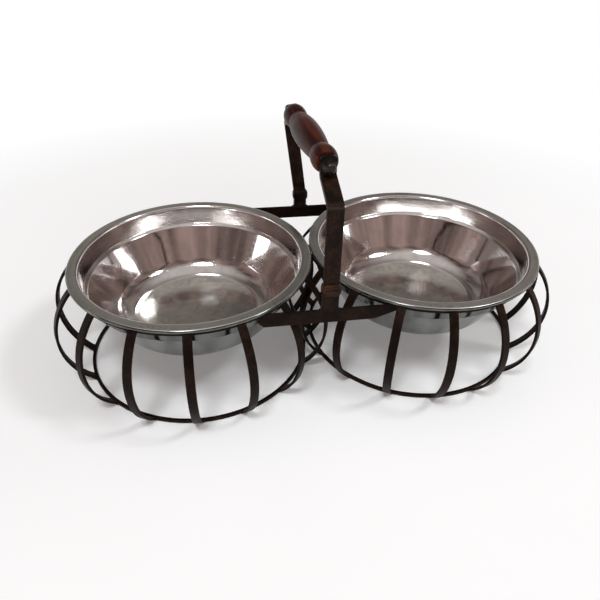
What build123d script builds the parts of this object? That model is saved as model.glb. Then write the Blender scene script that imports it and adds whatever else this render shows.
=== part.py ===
from build123d import *
from math import asin, cos, degrees, radians, sin, sqrt
import os

# Double pet bowl: two steel bowls hang by their rims in bulging iron cages, which two rails and a handle join.
# Millimetres. X runs along the pair of bowls, Z is up, the viewer stands at -Y.
# The origin lies on the floor, midway between the two bowls.

# Bowls, pressed from one sheet
rim_radius = 110.0
rim_gap = 0.8
rim_top = 107.0
sheet = 0.9
flange_width = 9.7
lip_drop = 2.0
lip_bend = 1.2
mouth_bend = 2.0
mouth_taper = 1.8
step_depth = 20.5
step_width = 3.0
step_rise = 2.0
step_bend = 1.2
wall_draft = 24.0
wall_bend = 24.5
bowl_depth = 63.0

# Rings of the cages
ring_inset = 2.5
ring_strip = 3.0
top_ring_height = 6.0
foot_ring_height = 3.5

# Ribs of the cages
rib_count = 16
rib_width = 7.5
rib_thickness = 2.5
rib_bulge = 22.0
rib_top_drop = 1.0
rib_foot_height = 1.9
left_rib_angle = -2.0
right_rib_angle = -5.0

# Rails that join the cages; the angle is where they meet the rings, seen from a bowl's centre
rail_angle = 59.9
rail_thickness = 2.5
rail_height = 13.0
rail_end_height = 4.0
rail_short_slant = 9.0
rail_long_slant = 25.0
rail_clearance = 0.45

# Feet of the handle
front_foot_x = 0.0
back_foot_x = 4.8
block_width = 13.0
block_depth = 7.0
front_block_height = 20.0
back_block_height = 14.0
collar_width = 15.8
collar_depth = 10.5
collar_height = 11.0
collar_round = 3.6

# Uprights of the handle, of flat strip; the back one leans towards the left bowl
front_lean_angle = -0.6
back_lean_angle = -8.2
upright_width = 12.5
upright_thickness = 4.0
post_height = 92.0
post_bend = 3.5
shoulder_run = 31.0
shoulder_rise = 10.5
tip_height = 15.5
tip_bend = 3.0
tip_round = 3.0
rod_height = 8.4

# Grip, rod, washers and nuts
grip_end_gap = 0.9
grip_end_radius = 8.6
bead_radius = 10.4
bead_middle = 9.0
neck_radius = 8.4
neck_distance = 21.0
barrel_radius = 11.8
barrel_widest = 54.0
groove_radius = 0.7
groove_distance = 31.0
groove_pitch = 6.0
rod_radius = 3.0
rod_clearance = 0.06
washer_radius = 6.0
washer_thickness = 1.0
nut_radius = 5.7
nut_base = 3.5
nut_dome_radius = 4.6
nut_dome_height = 4.6
nut_dome_round = 4.1
nut_engagement = 5.5

# Rounding of the strips' long edges
edge_round = 0.6

# Heights and radii that follow from the sizes above
bowl_centre = rim_radius + rim_gap / 2
seat_height = rim_top - sheet
lip_bottom = rim_top - sheet / 2 - lip_drop
ring_radius = rim_radius - ring_inset
bulge_radius = ring_radius + rib_bulge
rail_offset = ring_radius * sin(radians(rail_angle))
rail_top = lip_bottom - rail_clearance

os.makedirs("parts", exist_ok=True)


def save(part, name):
    part.label = name
    export_step(part, f"parts/{name}.step")


def make_bowl(centre_x):
    """A dished bowl with a flat floor, a step in its wall and a flat rim with a turned-down lip."""
    floor = rim_top - bowl_depth - sheet / 2
    flange = rim_top - sheet / 2
    mouth = rim_radius - flange_width
    step_outer = mouth - mouth_taper
    step_inner = step_outer - step_width
    step_middle = rim_top - step_depth
    lip = rim_radius - sheet / 2
    with BuildPart() as bowl:
        with BuildSketch(Plane.XZ.shift_origin((centre_x, 0, 0))):
            with BuildLine():
                FilletPolyline(
                    (0, floor),
                    (step_inner - wall_draft, floor),
                    (step_inner, step_middle - step_rise / 2),
                    (step_outer, step_middle + step_rise / 2),
                    (mouth, flange),
                    (lip, flange),
                    (lip, lip_bottom),
                    radius=(wall_bend, step_bend, step_bend, mouth_bend, lip_bend),
                )
            trace(line_width=sheet)
        revolve(axis=Axis((centre_x, 0, 0), (0, 0, 1)))
    return bowl.part


def make_ring(centre_x, base, height):
    """A ring of strip, flat above and below."""
    with BuildPart() as ring:
        with BuildSketch(Plane((centre_x, 0, base))):
            Circle(ring_radius)
            Circle(ring_radius - ring_strip, mode=Mode.SUBTRACT)
        extrude(amount=height)
        fillet(ring.edges(), edge_round)
    return ring.part


def make_rib(centre_x, angle):
    """A strip bent to one arc, which ends on the outside of the top ring and the foot ring."""
    top = lip_bottom - rib_top_drop
    half_height = (top - rib_foot_height) / 2
    arc_radius = (half_height ** 2 + rib_bulge ** 2) / (2 * rib_bulge)
    spare = degrees(2 * rib_thickness / arc_radius)
    half_arc = degrees(asin(half_height / arc_radius)) + spare
    outwards = Vector(cos(radians(angle)), sin(radians(angle)), 0)
    sideways = Vector(sin(radians(angle)), -cos(radians(angle)), 0)
    with BuildPart() as rib:
        with BuildSketch(Plane((centre_x, 0, 0), x_dir=outwards, z_dir=sideways)):
            with BuildLine():
                arc_centre = (bulge_radius - arc_radius, rib_foot_height + half_height)
                CenterArc(arc_centre, arc_radius, start_angle=-half_arc, arc_size=2 * half_arc)
            trace(line_width=rib_thickness)
        extrude(amount=rib_width / 2, both=True)
        fillet(rib.edges().filter_by(GeomType.CIRCLE), edge_round)
        with BuildSketch(Plane((centre_x, 0, 0))):
            Circle(ring_radius)
        extrude(amount=2 * rim_top, both=True, mode=Mode.SUBTRACT)
    return rib.part


def make_rail(side, ribs):
    """A flat bar on edge between the top rings, its lower corners cut on a short and a long slant, scribed to the ribs."""
    end = bowl_centre - sqrt((ring_radius - ring_strip) ** 2 - rail_offset ** 2)
    bottom = rail_top - rail_height
    with BuildPart() as rail:
        with BuildSketch(Plane((0, side * rail_offset, 0), x_dir=(-side, 0, 0), z_dir=(0, side, 0))):
            with BuildLine():
                Polyline(
                    (-end, rail_top),
                    (end, rail_top),
                    (end, rail_top - rail_end_height),
                    (end - rail_long_slant, bottom),
                    (rail_short_slant - end, bottom),
                    (-end, rail_top - rail_end_height),
                    close=True,
                )
            make_face()
        extrude(amount=rail_thickness / 2, both=True)
        fillet(rail.edges().filter_by(Axis.X), edge_round)
        with BuildSketch():
            with Locations((-bowl_centre, 0), (bowl_centre, 0)):
                Circle(ring_radius)
        extrude(amount=rim_top, mode=Mode.SUBTRACT)
        add(ribs, mode=Mode.SUBTRACT)
    return rail.part


def make_foot_block(side, foot_x, block_height):
    """A short block that stands on a rail's upper edge."""
    with BuildPart() as block:
        with BuildSketch(Plane((foot_x, side * rail_offset, rail_top))):
            RectangleRounded(block_width, block_depth, edge_round)
        extrude(amount=block_height)
    return block.part


def lean_plane(foot_x, block_height, lean):
    """The plane of an upright's side profile: its own X is the frame's Y, and its own Y runs up the post."""
    return Plane(
        (foot_x, 0, rail_top + block_height),
        x_dir=(0, 1, 0),
        z_dir=(cos(radians(lean)), 0, -sin(radians(lean))),
    )


def post_length(block_height, lean):
    """The length of a post from the top of its foot block to its bend."""
    return (post_height - block_height) / cos(radians(lean))


def tip_middle(side, foot_x, block_height, lean):
    """The point where the rod's axis passes the middle of an upright's tip."""
    out = side * (rail_offset - shoulder_run)
    up = post_length(block_height, lean) + shoulder_rise + rod_height
    return lean_plane(foot_x, block_height, lean).from_local_coords((out, up, 0))


front_tip = tip_middle(-1, front_foot_x, front_block_height, front_lean_angle)
back_tip = tip_middle(1, back_foot_x, back_block_height, back_lean_angle)
grip_direction = (back_tip - front_tip).normalized()
grip_axis = Axis(front_tip, grip_direction)
tip_spacing = (back_tip - front_tip).length


def make_upright(side, foot_x, block_height, lean):
    """A bent strip: an upright post, a shoulder that runs inwards and a tip that holds the rod."""
    profile = lean_plane(foot_x, block_height, lean)
    bend = post_length(block_height, lean)
    post = side * rail_offset
    tip = side * (rail_offset - shoulder_run)
    with BuildPart() as upright:
        with BuildSketch(profile):
            with BuildLine():
                FilletPolyline(
                    (post, -upright_width),
                    (post, bend),
                    (tip, bend + shoulder_rise),
                    (tip, bend + shoulder_rise + tip_height),
                    radius=(post_bend, tip_bend),
                )
            trace(line_width=upright_thickness)
        extrude(amount=upright_width / 2, both=True)
        top_face = upright.faces().sort_by(Axis(profile.origin, profile.y_dir))[-1]
        fillet(top_face.edges().filter_by(Axis.Y), tip_round)
        split(bisect_by=Plane.XY.offset(rail_top + block_height), keep=Keep.TOP)
        with BuildSketch(Plane(front_tip, z_dir=grip_direction)):
            Circle(rod_radius + rod_clearance)
        extrude(amount=2 * tip_spacing, both=True, mode=Mode.SUBTRACT)
    return upright.part


def make_collar(side, foot_x, block_height, block, upright):
    """A rounded collar that wraps the joint of a foot block and its upright."""
    with BuildPart() as collar:
        with Locations((foot_x, side * rail_offset, rail_top + block_height)):
            Box(collar_width, collar_depth, collar_height)
        fillet(collar.edges(), collar_round)
        add(block, mode=Mode.SUBTRACT)
        add(upright, mode=Mode.SUBTRACT)
    return collar.part


# Bowls and cages
all_ribs = []
for side_name, side, first_angle in (("left", -1, left_rib_angle), ("right", 1, right_rib_angle)):
    save(make_bowl(side * bowl_centre), f"{side_name}_bowl")
    top_ring = make_ring(side * bowl_centre, seat_height - top_ring_height, top_ring_height)
    save(top_ring, f"{side_name}_top_ring")
    save(make_ring(side * bowl_centre, 0, foot_ring_height), f"{side_name}_foot_ring")
    for rib_number in range(rib_count):
        rib_angle = first_angle + 360 * rib_number / rib_count
        all_ribs.append(make_rib(side * bowl_centre, rib_angle))
        save(all_ribs[-1], f"{side_name}_rib_{rib_number + 1:02d}")

# Rails and the handle's ironwork
for side_name, side, foot_x, block_height, lean in (
    ("front", -1, front_foot_x, front_block_height, front_lean_angle),
    ("back", 1, back_foot_x, back_block_height, back_lean_angle),
):
    foot_block = make_foot_block(side, foot_x, block_height)
    upright_strip = make_upright(side, foot_x, block_height, lean)
    save(make_rail(side, all_ribs), f"{side_name}_rail")
    save(foot_block, f"{side_name}_foot_block")
    save(upright_strip, f"{side_name}_upright")
    save(make_collar(side, foot_x, block_height, foot_block, upright_strip), f"{side_name}_collar")

# Turned grip: a bead at each end, a long barrel between two necks, and two grooves near its back end
grip_start = upright_thickness / 2 + grip_end_gap
grip_end = tip_spacing - grip_start
front_neck = grip_start + neck_distance
back_neck = grip_end - neck_distance
widest = grip_end - barrel_widest
barrel_rise = barrel_radius - neck_radius
barrel_arc = ((back_neck - widest) ** 2 + barrel_rise ** 2) / (2 * barrel_rise)
grip_sideways = Vector(0, 0, 1).cross(grip_direction).normalized()
with BuildPart() as grip:
    with BuildSketch(Plane(front_tip, x_dir=grip_sideways, z_dir=grip_sideways.cross(grip_direction))):
        with BuildLine():
            Line((0, grip_start), (grip_end_radius, grip_start))
            for top, middle, ends in (
                (bead_radius, grip_start + bead_middle, ((grip_end_radius, grip_start), (neck_radius, front_neck))),
                (barrel_radius, widest, ((neck_radius, front_neck), (neck_radius, back_neck))),
                (bead_radius, grip_end - bead_middle, ((neck_radius, back_neck), (grip_end_radius, grip_end))),
            ):
                for end, direction in zip(ends, (-1, 1)):
                    TangentArc((top, middle), end, tangent=(0, direction))
            Polyline((grip_end_radius, grip_end), (0, grip_end), (0, grip_start))
        make_face()
        for along in (grip_end - groove_distance, grip_end - groove_distance - groove_pitch):
            surface = barrel_radius - barrel_arc + sqrt(barrel_arc ** 2 - (along - widest) ** 2)
            with Locations((surface, along)):
                Circle(groove_radius, mode=Mode.SUBTRACT)
    revolve(axis=grip_axis)
    with BuildSketch(Plane(front_tip, z_dir=grip_direction)):
        Circle(rod_radius + rod_clearance)
    extrude(amount=tip_spacing, mode=Mode.SUBTRACT)
save(grip.part, "grip")

# Rod through the grip and both tips, long enough to fill the nuts
rod_overhang = upright_thickness / 2 + washer_thickness + nut_engagement
with BuildPart() as tie_rod:
    with BuildSketch(Plane(front_tip - grip_direction * rod_overhang, z_dir=grip_direction)):
        Circle(rod_radius)
    extrude(amount=tip_spacing + 2 * rod_overhang)
save(tie_rod.part, "tie_rod")

# Clearance for the rod in the washers and the nuts
with BuildPart() as rod_space:
    with BuildSketch(Plane(front_tip - grip_direction * (rod_overhang + rod_clearance), z_dir=grip_direction)):
        Circle(rod_radius + rod_clearance)
    extrude(amount=tip_spacing + 2 * (rod_overhang + rod_clearance))

# Washers and domed nuts on the outside of the tips
tip_ends = ((front_tip, Vector(0, -1, 0)), (back_tip, Vector(0, 1, 0)))
with BuildPart() as washers:
    for tip, outwards in tip_ends:
        with BuildSketch(Plane(tip + outwards * upright_thickness / 2, z_dir=outwards)):
            Circle(washer_radius)
        extrude(amount=washer_thickness)
    add(rod_space.part, mode=Mode.SUBTRACT)
save(washers.part, "washers")

with BuildPart() as cap_nuts:
    for tip, outwards in tip_ends:
        nut_seat = tip + outwards * (upright_thickness / 2 + washer_thickness)
        with BuildSketch(Plane(nut_seat, z_dir=outwards)):
            RegularPolygon(nut_radius, 6)
        extrude(amount=nut_base)
        with BuildSketch(Plane(nut_seat + outwards * nut_base, z_dir=outwards)):
            Circle(nut_dome_radius)
        extrude(amount=nut_dome_height)
        crown = cap_nuts.faces().sort_by(Axis(nut_seat, outwards))[-1]
        fillet(crown.edges(), nut_dome_round)
    add(rod_space.part, mode=Mode.SUBTRACT)
save(cap_nuts.part, "cap_nuts")
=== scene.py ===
import math
import random

import bmesh
import bpy
from mathutils import Matrix, Vector, noise


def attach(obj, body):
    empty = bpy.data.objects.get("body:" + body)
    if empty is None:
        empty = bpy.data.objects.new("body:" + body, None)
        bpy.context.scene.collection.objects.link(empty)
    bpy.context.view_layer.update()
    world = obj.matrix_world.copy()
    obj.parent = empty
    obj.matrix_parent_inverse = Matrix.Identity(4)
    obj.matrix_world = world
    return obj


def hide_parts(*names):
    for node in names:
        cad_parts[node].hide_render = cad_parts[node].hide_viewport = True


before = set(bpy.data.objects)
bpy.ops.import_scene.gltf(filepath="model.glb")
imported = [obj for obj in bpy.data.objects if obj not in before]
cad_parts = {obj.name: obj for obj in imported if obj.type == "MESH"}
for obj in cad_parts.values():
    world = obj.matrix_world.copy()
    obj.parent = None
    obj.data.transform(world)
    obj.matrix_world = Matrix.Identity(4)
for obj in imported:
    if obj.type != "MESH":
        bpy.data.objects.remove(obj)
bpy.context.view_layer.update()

# Sizes of the bowls and cages, in metres, as in the solids
BOWL_X = 0.1104
RIM_RADIUS = 0.110
RIM_TOP = 0.107
SHEET = 0.0009
RING_RADIUS = 0.1075
RIB_COUNT = 16
RIB_TURN = {"left": -2.0, "right": -5.0}
RAIL_Y = 0.093
RAIL_TOP = 0.1041
POST_TOP = 0.1955
GRIP_POINT = Vector((-0.00504379, 0.0, 0.214903))
GRIP_AXIS = Vector((-0.06585, 0.997828, -0.001546)).normalized()

# Section of the bowl: the middle line of its sheet, and the bends at its corners
BOWL_DEPTH = 0.063
FLOOR_CORNER = 0.0715
WALL_TOP = (0.0955, 0.0855)
STEP_FOOT = (0.0985, 0.0875)
FLANGE_CORNER = 0.1003
LIP_DROP = 0.002
BEND_RADII = (0.0245, 0.0012, 0.0012, 0.002, 0.0012)
PROFILE_STEP = 0.0015
LATHE_SEGMENTS = 192

# Finishes of the bowl's skin, by slot; the first legs of the section are inside, the flat flange is the
# rim, and the rest takes the outside's dark colour, which is painted shade
INSIDE = 0
RIM = 1
SHADED_OUTSIDE = 2
INSIDE_LEGS = 4
FLAT_ENOUGH = 0.95

# Weld beads: half sizes, how far they sit beside the strip, and where they lie
RIB_BEAD = (0.0010, 0.0016, 0.0013)
RIB_BEAD_SHIFT = 0.0037
RIB_BEAD_RADIUS = RING_RADIUS + 0.0003
RIB_BEAD_HEIGHT = 0.0022
BLOCK_BEAD = (0.0023, 0.0013, 0.0019)
BLOCK_BEAD_SHIFT = 0.0066
FRONT_BLOCK_X = 0.0
BACK_BLOCK_X = 0.0048

# Colours of the paint, the rust and the stained wood
PAINT_DARK = (0.0050, 0.0027, 0.0019)
PAINT_PALE = (0.0125, 0.0062, 0.0040)
RUST_DARK = (0.021, 0.0086, 0.0043)
RUST_PALE = (0.046, 0.0200, 0.0095)
PAINT_SPECK = (0.0045, 0.0026, 0.0019)
# Painted highlight for the bend of the uprights
PAINT_BEND_HIGHLIGHT = (0.040, 0.030, 0.026)
RIDGE_RUST = (0.052, 0.0225, 0.0105)
WOOD_DARK = (0.0120, 0.0026, 0.0020)
WOOD_MIDDLE = (0.040, 0.0078, 0.0050)
WOOD_PALE = (0.105, 0.0240, 0.0095)
WOOD_FIBRE = (0.018, 0.0062, 0.0048)
WOOD_GROOVE = (0.090, 0.012, 0.008)
WOOD_WORN = (0.110, 0.034, 0.012)

# The lamps are a little cool, against the warm walls of the room
LAMP_TINT = (0.94, 0.98, 1.0)


class Graph:
    """A node tree, with short calls for adding and linking nodes."""

    def __init__(self, owner):
        owner.use_nodes = True
        self.tree = owner.node_tree
        self.tree.nodes.clear()

    def add(self, kind, **values):
        node = self.tree.nodes.new(kind)
        for key, value in values.items():
            setattr(node, key, value)
        return node

    def link(self, source, target):
        self.tree.links.new(source, target)

    def feed(self, socket, value):
        if isinstance(value, bpy.types.NodeSocket):
            self.link(value, socket)
        else:
            socket.default_value = value

    def noise(self, vector, scale, detail=4.0, rough=0.55, distortion=0.0):
        node = self.add("ShaderNodeTexNoise")
        self.feed(node.inputs["Vector"], vector)
        node.inputs["Scale"].default_value = scale
        node.inputs["Detail"].default_value = detail
        node.inputs["Roughness"].default_value = rough
        node.inputs["Distortion"].default_value = distortion
        return node.outputs["Fac"]

    def ramp(self, fac, *stops):
        node = self.add("ShaderNodeValToRGB")
        self.feed(node.inputs["Fac"], fac)
        elements = node.color_ramp.elements
        while len(elements) < len(stops):
            elements.new(0.5)
        for element, (place, colour) in zip(elements, stops):
            element.position = place
            element.color = (*colour, 1.0) if isinstance(colour, tuple) else (colour, colour, colour, 1.0)
        return node.outputs["Color"]

    def math(self, operation, a, b=0.0):
        node = self.add("ShaderNodeMath", operation=operation)
        self.feed(node.inputs[0], a)
        self.feed(node.inputs[1], b)
        return node.outputs["Value"]

    def mix(self, fac, a, b, blend="MIX"):
        node = self.add("ShaderNodeMix", data_type="RGBA", blend_type=blend)
        self.feed(node.inputs[0], fac)
        for socket, value in ((node.inputs[6], a), (node.inputs[7], b)):
            self.feed(socket, (*value, 1.0) if isinstance(value, tuple) else value)
        return node.outputs[2]

    def bump(self, height, distance, strength=1.0, normal=None):
        node = self.add("ShaderNodeBump")
        node.inputs["Strength"].default_value = strength
        node.inputs["Distance"].default_value = distance
        self.link(height, node.inputs["Height"])
        if normal is not None:
            self.link(normal, node.inputs["Normal"])
        return node.outputs["Normal"]


class Surface(Graph):
    """A material with one principled shader."""

    SOCKETS = {
        "base": "Base Color",
        "metallic": "Metallic",
        "rough": "Roughness",
        "normal": "Normal",
        "coat": "Coat Weight",
        "coat_rough": "Coat Roughness",
        "specular": "Specular IOR Level",
        "glow": "Emission Strength",
    }

    def __init__(self, name):
        self.material = bpy.data.materials.new(name)
        super().__init__(self.material)
        self.shader = self.add("ShaderNodeBsdfPrincipled")
        self.output = self.add("ShaderNodeOutputMaterial")
        self.link(self.shader.outputs["BSDF"], self.output.inputs["Surface"])
        self.coords = self.add("ShaderNodeTexCoord").outputs["Object"]

    def set(self, **values):
        for key, value in values.items():
            if isinstance(value, tuple):
                value = (*value, 1.0)
            self.feed(self.shader.inputs[self.SOCKETS[key]], value)


def iron_material(name, stain, shine, bend=None, wound=False):
    """Brown-black paint over strip iron: brushed on unevenly, rust showing through, dull on the stains.

    Where the strip is bent at the height given, a lighter line is painted along the bend as its highlight.
    A wound piece has rusty ridges round it."""
    g = Surface(name)
    patches = g.noise(g.coords, 38.0, 5.0, 0.6)
    speckle = g.noise(g.coords, 420.0, 4.0, 0.6)
    stains = g.noise(g.coords, 75.0, 6.0, 0.68, 0.4)
    paint = g.ramp(patches, (0.32, PAINT_DARK), (0.68, PAINT_PALE))
    rust = g.ramp(speckle, (0.3, RUST_DARK), (0.7, RUST_PALE))
    colour = g.mix(g.ramp(stains, (0.44, 0.0), (0.68, stain)), paint, rust)
    colour = g.mix(g.ramp(speckle, (0.30, 0.55), (0.50, 0.0)), colour, PAINT_SPECK)
    # Painted highlight: a lighter line along the bend, where the bent strip catches the light
    if bend is not None:
        split = g.add("ShaderNodeSeparateXYZ")
        g.link(g.coords, split.inputs["Vector"])
        away = g.math("ABSOLUTE", g.math("SUBTRACT", split.outputs["Z"], bend))
        bend_highlight = g.ramp(g.math("MULTIPLY", away, 250.0), (0.10, 0.75), (0.36, 0.0))
        colour = g.mix(bend_highlight, colour, PAINT_BEND_HIGHLIGHT)
    g.set(base=colour, rough=g.ramp(stains, (0.35, 0.34), (0.70, 0.58)), metallic=0.0, specular=shine)
    brush = g.bump(g.noise(g.coords, 190.0, 3.0, 0.5), 0.0006, 0.35)
    if wound:
        round_it = g.add("ShaderNodeMapping")
        g.link(g.coords, round_it.inputs["Vector"])
        round_it.inputs["Scale"].default_value = (0.18, 0.18, 1.0)
        ridges = g.noise(round_it.outputs["Vector"], 420.0, 2.0, 0.5, 0.3)
        g.set(base=g.mix(g.ramp(ridges, (0.42, 0.0), (0.62, 0.9)), colour, RIDGE_RUST))
        brush = g.bump(ridges, 0.0012, 0.8, brush)
    g.set(normal=g.bump(speckle, 0.00025, 0.5, brush))
    return g.material


def steel_material(name, base, rough_low, rough_high, lines, reflection_streak_depth, worn=False):
    """Pressed and polished stainless steel: fine rings left by the wheel, and darker vertical stripes down
    the wall painted into its colour as reflection of the ribs and the room.

    A worn one has a dull, scratched floor and a duller band below the rim."""
    g = Surface(name)
    split = g.add("ShaderNodeSeparateXYZ")
    g.link(g.coords, split.inputs["Vector"])
    square_x = g.math("MULTIPLY", split.outputs["X"], split.outputs["X"])
    square_y = g.math("MULTIPLY", split.outputs["Y"], split.outputs["Y"])
    radius = g.math("SQRT", g.math("ADD", square_x, square_y))
    ring = g.add("ShaderNodeCombineXYZ")
    g.link(radius, ring.inputs["X"])
    g.link(split.outputs["Z"], ring.inputs["Y"])
    wheel = g.noise(ring.outputs["Vector"], 2600.0, 3.0, 0.6)
    bands = g.noise(ring.outputs["Vector"], 240.0, 3.0, 0.6)
    smears = g.noise(g.coords, 26.0, 4.0, 0.55, 0.6)
    marks = g.mix(0.5, bands, smears)
    rough = g.ramp(marks, (0.35, rough_low), (0.65, rough_high))
    colour = g.mix(g.ramp(smears, (0.40, 0.0), (0.75, 0.25)), base, tuple(0.86 * c for c in base))
    # Painted reflection: darker vertical stripes in the colour stand for the ribs and the room mirrored in
    # the wall
    stretched_down = g.add("ShaderNodeMapping")
    g.link(g.coords, stretched_down.inputs["Vector"])
    stretched_down.inputs["Scale"].default_value = (1.0, 1.0, 0.08)
    reflection_streaks = g.noise(stretched_down.outputs["Vector"], 85.0, 3.0, 0.55)
    colour = g.mix(g.ramp(reflection_streaks, (0.42, 0.0), (0.70, reflection_streak_depth)), colour, tuple(0.45 * c for c in base))
    waves = g.bump(g.noise(g.coords, 16.0, 2.0, 0.5), 0.002, 0.05)
    normal = g.bump(wheel, 0.00004, lines, waves)
    if worn:
        band = g.ramp(g.math("MULTIPLY", split.outputs["Z"], 10.0), (0.875, 0.0), (0.890, 1.0))
        rough = g.mix(band, rough, g.ramp(marks, (0.35, 0.09), (0.65, 0.17)))
        dull = g.ramp(g.math("MULTIPLY", radius, 10.0), (0.565, 1.0), (0.60, 0.0))
        smudges = g.noise(g.coords, 95.0, 6.0, 0.7, 0.8)
        rough = g.mix(dull, rough, g.ramp(smudges, (0.36, 0.11), (0.66, 0.20)))
        tarnish = g.ramp(smudges, (0.36, (0.50, 0.49, 0.46)), (0.68, (0.66, 0.65, 0.615)))
        colour = g.mix(dull, colour, tarnish)
        for turn in (0.5, 1.9, 2.7):
            lay = g.add("ShaderNodeMapping")
            g.link(g.coords, lay.inputs["Vector"])
            lay.inputs["Rotation"].default_value = (0.0, 0.0, turn)
            lay.inputs["Scale"].default_value = (1.0, 0.025, 1.0)
            scratch = g.noise(lay.outputs["Vector"], 900.0, 2.0, 0.5)
            normal = g.bump(g.ramp(scratch, (0.62, 0.0), (0.70, 1.0)), 0.00003, 0.35, normal)
    g.set(base=colour, rough=rough, metallic=1.0, normal=normal)
    return g.material


def wood_material():
    """Turned hardwood, stained red-brown and lacquered, with its grain along the grip."""
    g = Surface("lacquered_wood")
    turn = GRIP_AXIS.rotation_difference(Vector((0, 0, 1))).to_euler()
    place = g.add("ShaderNodeMapping", vector_type="POINT")
    g.link(g.coords, place.inputs["Vector"])
    place.inputs["Rotation"].default_value = turn
    place.inputs["Location"].default_value = -(turn.to_matrix() @ GRIP_POINT)
    along = g.add("ShaderNodeMapping")
    g.link(place.outputs["Vector"], along.inputs["Vector"])
    along.inputs["Scale"].default_value = (1.0, 1.0, 0.07)
    fibre = g.noise(along.outputs["Vector"], 520.0, 5.0, 0.65)
    figure = g.noise(along.outputs["Vector"], 90.0, 3.0, 0.5, 1.2)
    colour = g.ramp(figure, (0.34, WOOD_DARK), (0.52, WOOD_MIDDLE), (0.70, WOOD_PALE))
    colour = g.mix(g.ramp(fibre, (0.38, 0.55), (0.62, 0.0)), colour, WOOD_FIBRE)
    split = g.add("ShaderNodeSeparateXYZ")
    g.link(place.outputs["Vector"], split.inputs["Vector"])
    # Darker, redder stain in the two turned grooves, which lie near the back end
    for middle in (0.0228, 0.0288):
        away = g.math("ABSOLUTE", g.math("SUBTRACT", split.outputs["Z"], middle))
        groove = g.ramp(g.math("MULTIPLY", away, 400.0), (0.25, 0.9), (0.65, 0.0))
        colour = g.mix(groove, colour, WOOD_GROOVE)
    # Lacquer worn to a lighter orange-brown on the two beads
    from_middle = g.math("ABSOLUTE", split.outputs["Z"])
    ends = g.ramp(g.math("MULTIPLY", from_middle, 15.0), (0.62, 0.0), (0.70, 1.0))
    worn = g.math("MULTIPLY", ends, g.ramp(figure, (0.46, 0.0), (0.70, 0.6)))
    colour = g.mix(worn, colour, WOOD_WORN)
    g.set(base=colour, rough=g.ramp(fibre, (0.3, 0.34), (0.7, 0.46)), metallic=0.0, specular=0.09)
    g.set(coat=0.03, coat_rough=0.16, normal=g.bump(fibre, 0.0002, 0.30))
    return g.material


def nut_material():
    """Blackened steel of the rod, the washers and the nuts, bright where the tool wore it."""
    g = Surface("blackened_steel")
    rub = g.noise(g.coords, 330.0, 5.0, 0.65)
    g.set(base=g.ramp(rub, (0.40, (0.013, 0.010, 0.0085)), (0.72, (0.046, 0.038, 0.032))))
    g.set(metallic=0.75, rough=g.ramp(rub, (0.3, 0.52), (0.7, 0.34)))
    g.set(normal=g.bump(g.noise(g.coords, 700.0, 3.0, 0.5), 0.0002, 0.4))
    return g.material


iron = iron_material("painted_iron", 0.55, 0.06)
handle_iron = iron_material("painted_iron_rubbed", 0.95, 0.08)
collar_iron = iron_material("painted_iron_wound", 0.95, 0.08, wound=True)
upright_iron = iron_material("painted_iron_bend_highlight", 0.95, 0.08, POST_TOP)
weld_iron = iron_material("painted_welds", 0.75, 0.14)
polished = steel_material("polished_steel", (0.75, 0.715, 0.70), 0.05, 0.13, 0.12, 0.25, True)
satin = steel_material("satin_steel", (0.68, 0.675, 0.64), 0.24, 0.36, 0.30, 0.10)
# The outside's dark colour is painted shade: the same steel as inside, darkened for the shadowed floor it
# mirrors
outside = steel_material("outside_steel_painted_shade", (0.140, 0.145, 0.137), 0.08, 0.17, 0.25, 0.80)
wood = wood_material()
blackened = nut_material()


def wear(node, material):
    """Gives a CAD node this material in place of its own."""
    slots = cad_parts[node].data.materials
    slots.clear()
    slots.append(material)


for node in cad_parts:
    if "rib" in node or "ring" in node or "rail" in node:
        wear(node, iron)
    elif "upright" in node:
        wear(node, upright_iron)
    elif node == "front_collar":
        wear(node, collar_iron)
    elif "block" in node or "collar" in node:
        wear(node, handle_iron)
    elif node in ("tie_rod", "washers", "cap_nuts"):
        wear(node, blackened)
    elif node == "grip":
        wear(node, wood)


def rounded_line(points, radii, step):
    """Points along a line with rounded corners, one in about every step.

    Each comes with the line's left-hand normal and the number of its leg."""
    points = [Vector(p) for p in points]
    samples = []
    start = points[0]
    for i in range(1, len(points)):
        leg = (points[i] - points[i - 1]).normalized()
        if i < len(points) - 1:
            following = (points[i + 1] - points[i]).normalized()
            turn = math.atan2(leg.x * following.y - leg.y * following.x, leg.dot(following))
            trim = radii[i - 1] * math.tan(abs(turn) / 2)
        else:
            turn = 0.0
            trim = 0.0
        end = points[i] - leg * trim
        count = max(2, int((end - start).length / step))
        for k in range(count + 1):
            samples.append((start.lerp(end, k / count), Vector((-leg.y, leg.x)), i))
        if turn:
            side = math.copysign(1.0, turn)
            centre = end + Vector((-leg.y, leg.x)) * radii[i - 1] * side
            spoke = end - centre
            bends = max(6, int(abs(turn) * radii[i - 1] / step * 2))
            for k in range(1, bends + 1):
                turned = Matrix.Rotation(turn * k / bends, 2)
                samples.append((centre + turned @ spoke, turned @ Vector((-leg.y, leg.x)), i))
            start = samples.pop()[0]
    return samples


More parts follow.
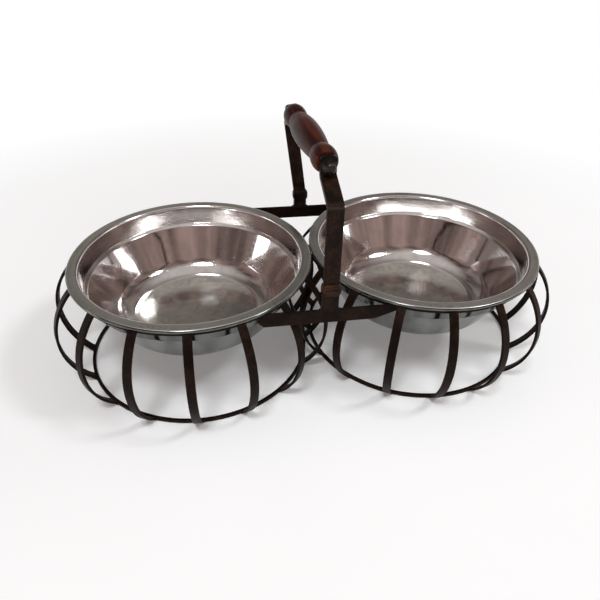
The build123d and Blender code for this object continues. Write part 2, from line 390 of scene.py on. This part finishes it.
def lathe(name, line, materials):
    """Turns a list of (radius, height) round the Z axis and returns the object.

    Each strip between two points has its material's number in the list of materials."""
    mesh = bpy.data.meshes.new(name)
    bm = bmesh.new()
    rings = []
    for radius, height in line:
        if radius < 1e-6:
            rings.append([bm.verts.new((0, 0, height))])
            continue
        ring = []
        for k in range(LATHE_SEGMENTS):
            a = 2 * math.pi * k / LATHE_SEGMENTS
            ring.append(bm.verts.new((radius * math.cos(a), radius * math.sin(a), height)))
        rings.append(ring)
    for i in range(len(rings) - 1):
        low = rings[i]
        high = rings[i + 1]
        for k in range(LATHE_SEGMENTS):
            n = (k + 1) % LATHE_SEGMENTS
            if len(low) == 1:
                face = bm.faces.new((low[0], high[k], high[n]))
            elif len(high) == 1:
                face = bm.faces.new((low[k], high[0], low[n]))
            else:
                face = bm.faces.new((low[k], high[k], high[n], low[n]))
            face.smooth = True
            face.material_index = materials[i]
    bmesh.ops.recalc_face_normals(bm, faces=bm.faces)
    bm.to_mesh(mesh)
    bm.free()
    obj = bpy.data.objects.new(name, mesh)
    bpy.context.collection.objects.link(obj)
    return obj


def make_bowl(side, centre_x):
    """The pressed bowl as a closed skin: polished inside, satin rim, and an outside whose dark colour is
    painted shade.
    """
    half = SHEET / 2
    floor = RIM_TOP - BOWL_DEPTH - half
    flange = RIM_TOP - half
    lip = RIM_RADIUS - half
    corners = [(0, floor), (FLOOR_CORNER, floor), WALL_TOP, STEP_FOOT, (FLANGE_CORNER, flange)]
    corners += [(lip, flange), (lip, flange - LIP_DROP)]
    samples = rounded_line(corners, BEND_RADII, PROFILE_STEP)
    inner = []
    for p, n, leg in samples:
        # Lip faces tilted away from flat take the outside's darker colour too, painted shade that dims the
        # highlight along the lip
        if leg <= INSIDE_LEGS:
            finish = INSIDE
        elif n.y > FLAT_ENOUGH:
            finish = RIM
        else:
            finish = SHADED_OUTSIDE
        inner.append((p + n * half, finish))
    outer = [(p - n * half, SHADED_OUTSIDE) for p, n, leg in samples]
    line = inner + outer[::-1]
    points = [(max(0.0, p.x), p.y) for p, m in line]
    materials = [m for p, m in line[:-1]]
    bowl = lathe(f"{side}_bowl_skin", points, materials)
    for material in (polished, satin, outside):
        bowl.data.materials.append(material)
    bowl.location = (centre_x, 0, 0)
    bpy.context.view_layer.update()
    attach(bowl, f"{side}_bowl")
    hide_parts(f"{side}_bowl")


make_bowl("left", -BOWL_X)
make_bowl("right", BOWL_X)


def add_lump(bm, centre, axes, sizes, seed):
    """A weld bead: a squashed ball with an uneven skin."""
    made = bmesh.ops.create_icosphere(bm, subdivisions=3, radius=1.0)["verts"]
    for v in made:
        swell = 1.0 + 0.28 * noise.noise(v.co * 1.7 + Vector((seed, 0.37 * seed, 0)))
        local = v.co * swell
        v.co = centre + sum((axes[k] * (local[k] * sizes[k]) for k in range(3)), Vector())


# Weld beads where the ribs meet the foot rings and where the foot blocks stand on the rails
rng = random.Random(7)
bead_mesh = bpy.data.meshes.new("weld_beads")
bm = bmesh.new()
up = Vector((0, 0, 1))
for side, centre_x in (("left", -BOWL_X), ("right", BOWL_X)):
    for number in range(RIB_COUNT):
        a = math.radians(RIB_TURN[side] + 360 * number / RIB_COUNT)
        out = Vector((math.cos(a), math.sin(a), 0))
        along = Vector((-out.y, out.x, 0))
        middle = Vector((centre_x, 0, 0))
        for shift in (-1, 1):
            grow = rng.uniform(0.8, 1.25)
            seat = middle + out * RIB_BEAD_RADIUS + along * shift * RIB_BEAD_SHIFT + up * RIB_BEAD_HEIGHT
            sizes = (RIB_BEAD[0] * grow, RIB_BEAD[1] * grow, RIB_BEAD[2])
            add_lump(bm, seat, (out, along, up), sizes, rng.uniform(0, 50))
for foot_x, foot_y in ((FRONT_BLOCK_X, -RAIL_Y), (BACK_BLOCK_X, RAIL_Y)):
    for shift in (-1, 1):
        grow = rng.uniform(0.85, 1.15)
        seat = Vector((foot_x + shift * BLOCK_BEAD_SHIFT, foot_y, RAIL_TOP))
        axes = (Vector((1, 0, 0)), Vector((0, 1, 0)), up)
        sizes = (BLOCK_BEAD[0] * grow, BLOCK_BEAD[1], BLOCK_BEAD[2] * grow)
        add_lump(bm, seat, axes, sizes, rng.uniform(0, 50))
for face in bm.faces:
    face.smooth = True
bm.to_mesh(bead_mesh)
bm.free()
beads = bpy.data.objects.new("weld_beads", bead_mesh)
bpy.context.collection.objects.link(beads)
bead_mesh.materials.append(weld_iron)
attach(beads, "stand")

# Floor, plain and pale
floor_mesh = bpy.data.meshes.new("floor")
bm = bmesh.new()
bmesh.ops.create_grid(bm, x_segments=1, y_segments=1, size=6.0)
bm.to_mesh(floor_mesh)
bm.free()
floor = bpy.data.objects.new("floor", floor_mesh)
bpy.context.collection.objects.link(floor)
floor.location.z = -0.0002
pale = Surface("pale_floor")
pale.set(base=pale.ramp(pale.noise(pale.coords, 3.0), (0.3, 0.90), (0.7, 0.93)), rough=0.9, specular=0.1)
# Where it is seen or mirrored, the floor is lifted a little near the object and plain white away from it
sight = pale.add("ShaderNodeLightPath").outputs
seen = pale.math("MAXIMUM", sight["Is Camera Ray"], sight["Is Glossy Ray"])
seen = pale.math("MAXIMUM", seen, sight["Is Transmission Ray"])
length = pale.add("ShaderNodeVectorMath", operation="LENGTH")
pale.link(pale.coords, length.inputs[0])
away = pale.ramp(pale.math("MULTIPLY", length.outputs["Value"], 0.5), (0.15, 0.0), (0.38, 1.0))
pale.set(glow=pale.math("MULTIPLY", seen, 0.13))
plain = pale.add("ShaderNodeEmission")
blend = pale.add("ShaderNodeMixShader")
pale.link(pale.math("MULTIPLY", seen, away), blend.inputs["Fac"])
pale.link(pale.shader.outputs["BSDF"], blend.inputs[1])
pale.link(plain.outputs["Emission"], blend.inputs[2])
pale.link(blend.outputs["Shader"], pale.output.inputs["Surface"])
pale.material.cycles.emission_sampling = "NONE"
floor_mesh.materials.append(pale.material)

# World: a white sweep round the horizon, a dim warm room above it and a pale ceiling
world = bpy.data.worlds.new("studio")
bpy.context.scene.world = world
room = Graph(world)
direction = room.add("ShaderNodeTexCoord").outputs["Generated"]
split = room.add("ShaderNodeSeparateXYZ")
room.link(direction, split.inputs["Vector"])
across = room.math("MULTIPLY", room.math("ADD", split.outputs["Y"], 1.0), 0.5)
front_wall = (0.47, 0.335, 0.305)
side_walls = (0.37, 0.275, 0.25)
back_wall = (0.24, 0.23, 0.21)
ceiling = (0.60, 0.57, 0.55)
white = (1.0, 1.0, 1.0)
walls = room.ramp(across, (0.0, front_wall), (0.55, side_walls), (1.0, back_wall))
stretch = room.add("ShaderNodeMapping")
stretch.inputs["Scale"].default_value = (1.0, 1.0, 0.45)
stretch.inputs["Location"].default_value = (0.0, 0.0, 0.5)
room.link(direction, stretch.inputs["Vector"])
patches = room.noise(stretch.outputs["Vector"], 3.8, 2.5, 0.5)
walls = room.mix(1.0, walls, room.ramp(patches, (0.30, 0.18), (0.70, 1.0)), "MULTIPLY")
height = split.outputs["Z"]
colour = room.mix(room.ramp(height, (0.76, 0.0), (0.95, 1.0)), walls, ceiling)
colour = room.mix(room.ramp(height, (0.14, 1.0), (0.26, 0.0)), colour, white)
back_light = room.add("ShaderNodeBackground")
room.link(colour, back_light.inputs["Color"])
room.link(back_light.outputs["Background"], room.add("ShaderNodeOutputWorld").inputs["Surface"])


def lamp(name, place, size, glow, shape="DISK"):
    """A soft studio lamp at a place, turned towards the object; glow is how bright its face is."""
    light = bpy.data.lights.new(name, "AREA")
    light.shape = shape
    light.size = size
    area = math.pi * size * size / 4
    if shape == "RECTANGLE":
        light.size_y = 0.6 * size
        area = size * light.size_y
    light.energy = glow * math.pi * area
    light.color = LAMP_TINT
    obj = bpy.data.objects.new(name, light)
    bpy.context.collection.objects.link(obj)
    obj.location = place
    obj.rotation_euler = (Vector((0, 0, 0.08)) - Vector(place)).to_track_quat("-Z", "Y").to_euler()


lamp("ceiling_near", (-0.42, -0.90, 2.1), 0.50, 33.0)
lamp("ceiling_right", (1.30, -0.35, 1.85), 0.45, 28.0)
lamp("window_left", (-2.1, 0.05, 0.66), 0.58, 4.0, "RECTANGLE")
lamp("window_right", (2.1, 0.00, 0.66), 0.58, 4.0, "RECTANGLE")

# Camera, fitted to the rims, the foot rings and the ribs
azimuth = math.radians(-10.053)
elevation = math.radians(36.541)
roll = math.radians(1.658)
outwards = math.cos(elevation)
back = Vector((math.sin(azimuth) * outwards, -math.cos(azimuth) * outwards, math.sin(elevation)))
level = Vector((math.cos(azimuth), math.sin(azimuth), 0))
rise = back.cross(level)
right = level * math.cos(roll) + rise * math.sin(roll)
upwards = rise * math.cos(roll) - level * math.sin(roll)
lens = bpy.data.cameras.new("photo_camera")
lens.sensor_width = 36.0
lens.lens = 31.834
lens.clip_start = 0.01
camera = bpy.data.objects.new("photo_camera", lens)
bpy.context.collection.objects.link(camera)
turned = Matrix((right, upwards, back)).transposed().to_4x4()
camera.matrix_world = Matrix.Translation((-0.083856, -0.426689, 0.366794)) @ turned
bpy.context.scene.camera = camera
bpy.context.scene.view_settings.view_transform = "Standard"

bpy.context.view_layer.update()
